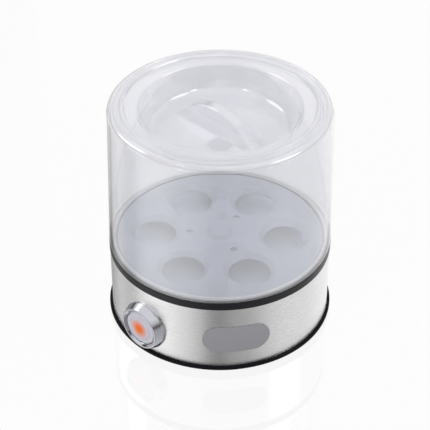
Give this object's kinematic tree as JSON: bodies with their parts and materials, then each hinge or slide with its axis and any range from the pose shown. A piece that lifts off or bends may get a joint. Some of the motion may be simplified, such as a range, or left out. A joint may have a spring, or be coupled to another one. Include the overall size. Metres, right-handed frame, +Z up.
{
  "type": "electric egg cooker",
  "caption": "Round electric egg cooker: steel-banded heated base with push button, egg rack, clear lift-off steam cover and dished vented lid with arched grip.",
  "frame": {"origin": "centre of the underside of the feet, at table level", "axes": "+Z up, -Y to the front where the bare plate is, +X to the right"},
  "size_m": [0.154, 0.154, 0.1624],
  "materials": {
    "feet_rubber": "matt",
    "black_plastic": "satin",
    "screw_steel": "satin",
    "brushed_band": "brushed round the band",
    "silicone": "matt",
    "plate_metal": "satin",
    "zinc_steel": "satin",
    "element_sheath": "oxidised",
    "ceramic_body": "matt",
    "fuse_sleeve": "woven sleeve",
    "block_plastic": "gloss",
    "gland_rubber": "matt",
    "chrome_bezel": "polished",
    "switch_plastic": "matt",
    "lamp_glass": "clear",
    "spring_steel": "bright",
    "button_plastic": "frosted",
    "rack_plastic": "satin, slightly see-through",
    "clear_cover": "clear, slightly milky plastic",
    "clear_lid": "clear, slightly milky plastic"
  },
  "bodies": {
    "base": {"feet": "feet_rubber", "base_pan": "black_plastic", "base_screws": "screw_steel", "steel_band": "brushed_band", "top_ring": "black_plastic", "plate_seal": "silicone", "heating_plate": "plate_metal", "plate_clips": "zinc_steel", "plate_nuts": "screw_steel", "heating_element": "element_sheath", "thermostat": "ceramic_body", "thermostat_bracket": "zinc_steel", "thermal_fuse": "fuse_sleeve", "fuse_clip": "zinc_steel", "terminal_block": "block_plastic", "cord_gland": "gland_rubber", "switch_bezel": "chrome_bezel", "switch_nut": "switch_plastic", "switch_body": "switch_plastic", "lamp": "lamp_glass", "button_spring": "spring_steel"},
    "rack": {"egg_rack": "rack_plastic"},
    "cover": {"steam_cover": "clear_cover"},
    "lid": {"lid": "clear_lid"},
    "button": {"button": "button_plastic"}
  },
  "joints": [
    {"name": "rack_lift", "type": "slide", "parent": "base", "child": "rack", "axis": [0, 0, 1], "range_m": [0, 0.07]},
    {"name": "cover_lift", "type": "slide", "parent": "base", "child": "cover", "axis": [0, 0, 1], "range_m": [0, 0.15]},
    {"name": "lid_lift", "type": "slide", "parent": "cover", "child": "lid", "axis": [0, 0, 1], "range_m": [0, 0.06]},
    {"name": "button_press", "type": "slide", "parent": "base", "child": "button", "axis": [0.766, 0.6428, 0], "range_m": [0, 0.003], "stiffness_N_per_m": 600, "springref_m": -0.003, "deforming": ["button_spring"]}
  ]
}
